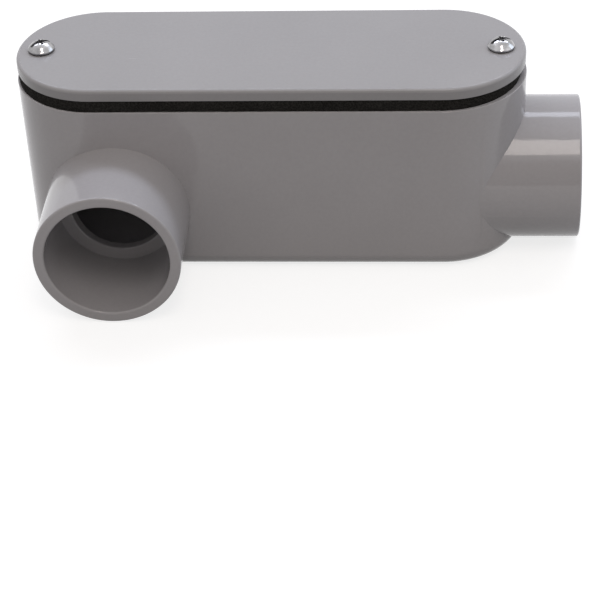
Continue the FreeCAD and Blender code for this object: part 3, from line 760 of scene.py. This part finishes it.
def screw_tree():
    """A pan-head screw: domed head, slot and cross recess, threaded shank."""
    tree, size = new_geometry_tree("pan_head_screw", [
        ("Station", "Float"), ("Seat", "Float"), ("Head Radius", "Float"), ("Head Height", "Float"),
        ("Head Side", "Float"), ("Undercut", "Float"), ("Shank Radius", "Float"),
        ("Shank Length", "Float"), ("Thread Depth", "Float"), ("Thread Pitch", "Float"),
        ("Slot Width", "Float"), ("Slot Depth", "Float"), ("Cross Span", "Float"),
        ("Cross Width", "Float"), ("Cross Depth", "Float"), ("Turn", "Float"), ("Sides", "Int"),
        ("Material", "Material")])
    nearly_all, nearly_none = 0.99, 0.01
    slot_reach = 2.2  # head radii, so that the slot runs out on both sides
    root_flat = 1.15  # above 1 it flattens the bottom of the thread's groove
    tip_chamfer = 0.7 * MM
    plain_neck = 0.8 * MM
    point = tree.nodes.new("GeometryNodeInputPosition").outputs[0]
    x, y, z = add(tree, "ShaderNodeSeparateXYZ", {0: point}).outputs[:3]
    radius = calc(tree, "SQRT", calc(tree, "MULTIPLY_ADD", x, x, calc(tree, "MULTIPLY", y, y)))

    def moved(geometry, along=0.0, height=0.0, turn=0.0):
        return add(tree, "GeometryNodeTransform", {
            "Geometry": geometry,
            "Translation": add(tree, "ShaderNodeCombineXYZ", {"X": along, "Z": height}).outputs[0],
            "Rotation": add(tree, "ShaderNodeCombineXYZ", {"Z": turn}).outputs[0]}).outputs[0]

    blank = add(tree, "GeometryNodeMeshCylinder", {
        "Vertices": size["Sides"], "Side Segments": 3, "Fill Segments": 14,
        "Radius": size["Head Radius"], "Depth": size["Head Side"]})
    blank = moved(blank.outputs[0], height=calc(tree, "MULTIPLY", size["Head Side"], 0.5))
    reach = calc(tree, "DIVIDE", radius, size["Head Radius"])
    rise = calc(tree, "SUBTRACT", size["Head Height"], size["Head Side"])
    falling = calc(tree, "POWER", reach, CROWN_POWER)
    crown = calc(tree, "MULTIPLY", rise, calc(tree, "SUBTRACT", 1.0, falling))
    on_top = calc(tree, "GREATER_THAN", z, calc(tree, "MULTIPLY", size["Head Side"], nearly_all))
    at_foot = calc(tree, "LESS_THAN", z, calc(tree, "MULTIPLY", size["Head Side"], nearly_none))
    drawn_in = calc(tree, "MULTIPLY", at_foot, calc(tree, "DIVIDE", size["Undercut"], size["Head Radius"]))
    keep = calc(tree, "SUBTRACT", 1.0, drawn_in)
    domed = add(tree, "GeometryNodeSetPosition", {
        "Geometry": blank, "Position": add(tree, "ShaderNodeCombineXYZ", {
            0: calc(tree, "MULTIPLY", x, keep), 1: calc(tree, "MULTIPLY", y, keep),
            2: calc(tree, "MULTIPLY_ADD", crown, on_top, z)}).outputs[0]})

    def cutter(span, width, depth, turn=0.0, taper=0.0):
        """A box let into the crown from above, narrower at its bottom by the taper."""
        deep = calc(tree, "MULTIPLY", depth, 2.0)
        box = add(tree, "GeometryNodeMeshCube", {
            "Size": add(tree, "ShaderNodeCombineXYZ", {0: span, 1: width, 2: deep}).outputs[0]})
        low = calc(tree, "LESS_THAN", z, 0.0)
        shrink = calc(tree, "SUBTRACT", 1.0, calc(tree, "MULTIPLY", low, taper))
        narrowed = add(tree, "ShaderNodeCombineXYZ", {
            0: calc(tree, "MULTIPLY", x, shrink), 1: calc(tree, "MULTIPLY", y, shrink), 2: z})
        shaped = add(tree, "GeometryNodeSetPosition", {
            "Geometry": box.outputs[0], "Position": narrowed.outputs[0]})
        return moved(shaped.outputs[0], height=size["Head Height"], turn=turn)

    quarter = math.pi / 2
    slot_span = calc(tree, "MULTIPLY", size["Head Radius"], slot_reach)
    cross = (size["Cross Span"], size["Cross Width"], size["Cross Depth"])
    tick = [calc(tree, "MULTIPLY", full, part) for full, part in zip(cross, TICK_SHARES)]
    cutters = [
        cutter(slot_span, size["Slot Width"], size["Slot Depth"]),
        cutter(*cross, taper=CROSS_TAPER),
        cutter(*cross, turn=quarter, taper=CROSS_TAPER),
        cutter(*tick, turn=quarter / 2),
        cutter(*tick, turn=-quarter / 2),
    ]
    head = domed.outputs[0]
    for tool in cutters:
        cut = add(tree, "GeometryNodeMeshBoolean", {"Mesh 1": head, "Mesh 2": tool},
                  operation="DIFFERENCE", solver="EXACT")
        head = cut.outputs[0]

    shank = add(tree, "GeometryNodeMeshCylinder", {
        "Vertices": 40, "Side Segments": 150, "Fill Segments": 1,
        "Radius": size["Shank Radius"], "Depth": size["Shank Length"]})
    shank = moved(shank.outputs[0], height=calc(tree, "MULTIPLY", size["Shank Length"], -0.5))
    bearing = calc(tree, "DIVIDE", calc(tree, "ARCTAN2", y, x), FULL_TURN)
    turns = calc(tree, "SUBTRACT", calc(tree, "DIVIDE", z, size["Thread Pitch"]), bearing)
    saw = calc(tree, "FRACT", turns)
    groove = calc(tree, "ABSOLUTE", calc(tree, "MULTIPLY_ADD", saw, 2.0, -1.0))
    groove = calc(tree, "MINIMUM", calc(tree, "MULTIPLY", groove, root_flat), 1.0)
    above_tip = calc(tree, "ADD", z, size["Shank Length"])
    tip_cut = calc(tree, "MAXIMUM", calc(tree, "SUBTRACT", tip_chamfer, above_tip), 0.0)
    thread = calc(tree, "MULTIPLY", groove, size["Thread Depth"])
    below = calc(tree, "LESS_THAN", z, -plain_neck)
    thread = calc(tree, "MULTIPLY", thread, below)
    inward = calc(tree, "MAXIMUM", thread, tip_cut)
    scale = calc(tree, "SUBTRACT", 1.0, calc(tree, "DIVIDE", inward, size["Shank Radius"]))
    threaded = add(tree, "GeometryNodeSetPosition", {
        "Geometry": shank,
        "Position": add(tree, "ShaderNodeCombineXYZ", {
            0: calc(tree, "MULTIPLY", x, scale), 1: calc(tree, "MULTIPLY", y, scale), 2: z}).outputs[0]})
    whole = add(tree, "GeometryNodeJoinGeometry", {"Geometry": [head, threaded.outputs[0]]})
    placed = moved(whole.outputs[0], along=size["Station"], height=size["Seat"], turn=size["Turn"])
    close_tree(tree, placed, size["Material"])
    return tree


class CONDUIT_OT_screws(bpy.types.Operator):
    """Turn the two zinc-plated cover screws"""
    bl_idname = "conduit.screws"
    bl_label = "Turn the Screws"

    def execute(self, context):
        sizes = context.scene.conduit_screws
        zinc = bright_zinc("screw_zinc", sizes.colour, sizes.roughness, sizes.head_side)
        tree = screw_tree()
        for side, low, high, turn in (("left", LEFT_LOW, LEFT_HIGH, sizes.left_turn),
                                      ("right", RIGHT_LOW, RIGHT_HIGH, sizes.right_turn)):
            screw = grow("cover_screw_%s_zinc" % side, tree, {
                "Station": (low.x + high.x) / 2,
                "Seat": COVER_HIGH.z,
                "Head Radius": (high.x - low.x) / 2,
                "Head Height": high.z - COVER_HIGH.z,
                "Head Side": sizes.head_side,
                "Undercut": sizes.undercut,
                "Shank Radius": sizes.shank_radius,
                "Shank Length": COVER_HIGH.z - low.z,
                "Thread Depth": sizes.thread_depth,
                "Thread Pitch": sizes.thread_pitch,
                "Slot Width": sizes.slot_width,
                "Slot Depth": sizes.slot_depth,
                "Cross Span": sizes.cross_span,
                "Cross Width": sizes.cross_width,
                "Cross Depth": sizes.cross_depth,
                "Turn": turn,
                "Sides": sizes.sides,
                "Material": zinc,
            })
            finish_mesh(screw, sharp_angle=30.0)
            hand_over(screw, zinc, side + "_screw", "cover_screw_" + side)
        return {"FINISHED"}


# Stage

def soft_box(name, azimuth, elevation, width, height, watts, tint):
    """A rectangular lamp at an azimuth and elevation about the object, facing it."""
    lamp = bpy.data.lights.new(name, "AREA")
    lamp.shape = "RECTANGLE"
    lamp.size = width
    lamp.size_y = height
    lamp.energy = watts
    lamp.color = tint
    obj = bpy.data.objects.new(name, lamp)
    bpy.context.scene.collection.objects.link(obj)
    back = direction(azimuth, elevation)
    obj.matrix_world = looking(back * LAMP_DISTANCE, back)


def direction(azimuth, elevation):
    """Unit vector from the object towards an azimuth (0 is the front) and an elevation."""
    bearing, rise = math.radians(azimuth), math.radians(elevation)
    flat = math.cos(rise)
    return Vector((math.sin(bearing) * flat, -math.cos(bearing) * flat, math.sin(rise)))


def looking(place, back, roll=0.0):
    """Matrix of something at a place whose back points that way, rolled by degrees about its sight."""
    right = Vector((0.0, 0.0, 1.0)).cross(back).normalized()
    up = back.cross(right)
    cosine, sine = math.cos(math.radians(roll)), math.sin(math.radians(roll))
    across = right * cosine + up * sine
    upward = up * cosine - right * sine
    matrix = Matrix((across, upward, back)).transposed().to_4x4()
    matrix.translation = place
    return matrix


def seen_directly(tree):
    """1 for camera, glossy and transmission rays, and 0 for rays that only light things."""
    rays = tree.nodes.new("ShaderNodeLightPath").outputs
    in_glass_or_gloss = calc(tree, "MAXIMUM", rays["Is Glossy Ray"], rays["Is Transmission Ray"])
    return calc(tree, "MAXIMUM", rays["Is Camera Ray"], in_glass_or_gloss)


def flat_sheet(name, corners, material):
    """A flat sheet with four corners, for the stage."""
    mesh = bpy.data.meshes.new(name)
    mesh.from_pydata(corners, [], [(0, 1, 2, 3)])
    mesh.materials.append(material)
    sheet = bpy.data.objects.new(name, mesh)
    bpy.context.scene.collection.objects.link(sheet)
    return sheet


def make_floor(settings):
    """Pale paper that keeps the object's shadow and is lifted to white for the camera."""
    half = 3.0  # metres
    level = HOUSING_LOW.z - FLOOR_GAP
    material, tree = new_material("pale_paper")
    place = add(tree, "ShaderNodeTexCoord").outputs["Object"]
    fibres = spread(tree, noise(tree, place, scale=260.0, detail=3.0), low=0.985, high=1.01)
    paper = add(tree, "ShaderNodeBsdfDiffuse", {"Color": tinted(tree, settings.floor_colour, fibres)})
    lift = calc(tree, "MULTIPLY", seen_directly(tree), settings.floor_lift)
    glow = add(tree, "ShaderNodeEmission", {"Color": (1.0, 1.0, 1.0, 1.0), "Strength": lift})
    both = add(tree, "ShaderNodeAddShader", {0: paper.outputs[0], 1: glow.outputs[0]})
    add(tree, "ShaderNodeOutputMaterial", {"Surface": both.outputs[0]})
    corners = [(-half, -half, level), (half, -half, level), (half, half, level), (-half, half, level)]
    floor = flat_sheet("paper_floor", corners, material)


def make_world(ambient):
    """White all round for the camera and for reflections, and an even light of its own."""
    world = bpy.data.worlds.new("studio")
    world.use_nodes = True
    tree = world.node_tree
    tree.nodes.clear()
    shade = add(tree, "ShaderNodeMix", {
        0: seen_directly(tree), 6: (*ambient, 1.0), 7: (1.0, 1.0, 1.0, 1.0)}, data_type="RGBA")
    backdrop = add(tree, "ShaderNodeBackground", {"Color": shade.outputs[2]})
    add(tree, "ShaderNodeOutputWorld", {"Surface": backdrop.outputs[0]})
    bpy.context.scene.world = world


def make_flag():
    """A dark card behind the camera, which only reflections show; sizes in metres."""
    half, front, low, high = 0.9, -1.3, 0.02, 1.1
    black = (0.05, 0.05, 0.05)
    material, tree = new_material("dark_card")
    place = add(tree, "ShaderNodeTexCoord").outputs["Object"]
    nap = spread(tree, noise(tree, place, scale=90.0), low=0.8, high=1.2)
    card = add(tree, "ShaderNodeBsdfDiffuse", {"Color": tinted(tree, black, nap)})
    add(tree, "ShaderNodeOutputMaterial", {"Surface": card.outputs[0]})
    corners = [(-half, front, high), (half, front, high), (half, front, low), (-half, front, low)]
    flag = flat_sheet("dark_card", corners, material)
    flag.visible_camera = False
    flag.visible_diffuse = False
    flag.visible_shadow = False


def make_camera():
    """A camera where the photograph was taken from."""
    place = Vector((0.06396, -0.65665, 0.43720))
    back = direction(azimuth=5.027, elevation=35.524)
    lens = bpy.data.cameras.new("camera")
    lens.sensor_width = 36.0
    lens.lens = 131.23
    lens.clip_end = 20.0
    camera = bpy.data.objects.new("camera", lens)
    bpy.context.scene.collection.objects.link(camera)
    camera.matrix_world = looking(place, back, roll=-2.808)
    bpy.context.scene.camera = camera


class CONDUIT_OT_stage(bpy.types.Operator):
    """Set the pale floor, the soft lamps and the camera"""
    bl_idname = "conduit.stage"
    bl_label = "Set the Stage"

    def execute(self, context):
        settings = context.scene.conduit_stage
        make_floor(settings)
        make_world(settings.ambient)
        soft_box("back_light", azimuth=183, elevation=60, width=2.2, height=0.25,
                 watts=settings.back_light, tint=settings.back_tint)
        soft_box("front_light", azimuth=12, elevation=60, width=0.28, height=0.62,
                 watts=settings.front_light, tint=settings.front_tint)
        soft_box("side_light", azimuth=105, elevation=25, width=0.8, height=0.8,
                 watts=settings.side_light, tint=settings.side_tint)
        make_flag()
        make_camera()
        context.scene.view_settings.view_transform = "Standard"
        return {"FINISHED"}


# Add-on

class CONDUIT_PT_panel(bpy.types.Panel):
    """Lists the steps that make the conduit body"""
    bl_label = "Conduit Body"
    bl_idname = "CONDUIT_PT_panel"
    bl_space_type = "VIEW_3D"
    bl_region_type = "UI"
    bl_category = "Conduit Body"

    def draw(self, context):
        for step, group, _ in STEPS:
            box = self.layout.box()
            settings = getattr(context.scene, group)
            for name in settings.__annotations__:
                box.prop(settings, name)
            box.operator(step.bl_idname)


STEPS = (
    (CONDUIT_OT_housing, "conduit_housing", HousingSettings),
    (CONDUIT_OT_cover, "conduit_cover", CoverSettings),
    (CONDUIT_OT_gasket, "conduit_gasket", GasketSettings),
    (CONDUIT_OT_screws, "conduit_screws", ScrewSettings),
    (CONDUIT_OT_stage, "conduit_stage", StageSettings),
)


def register():
    for step, group, settings in STEPS:
        bpy.utils.register_class(settings)
        bpy.utils.register_class(step)
        setattr(bpy.types.Scene, group, bpy.props.PointerProperty(type=settings))
    bpy.utils.register_class(CONDUIT_PT_panel)


def unregister():
    bpy.utils.unregister_class(CONDUIT_PT_panel)
    for step, group, settings in STEPS:
        delattr(bpy.types.Scene, group)
        bpy.utils.unregister_class(step)
        bpy.utils.unregister_class(settings)


def main():
    register()
    bpy.ops.conduit.housing()
    bpy.ops.conduit.cover()
    bpy.ops.conduit.gasket()
    bpy.ops.conduit.screws()
    bpy.ops.conduit.stage()


if __name__ == "__main__":
    main()
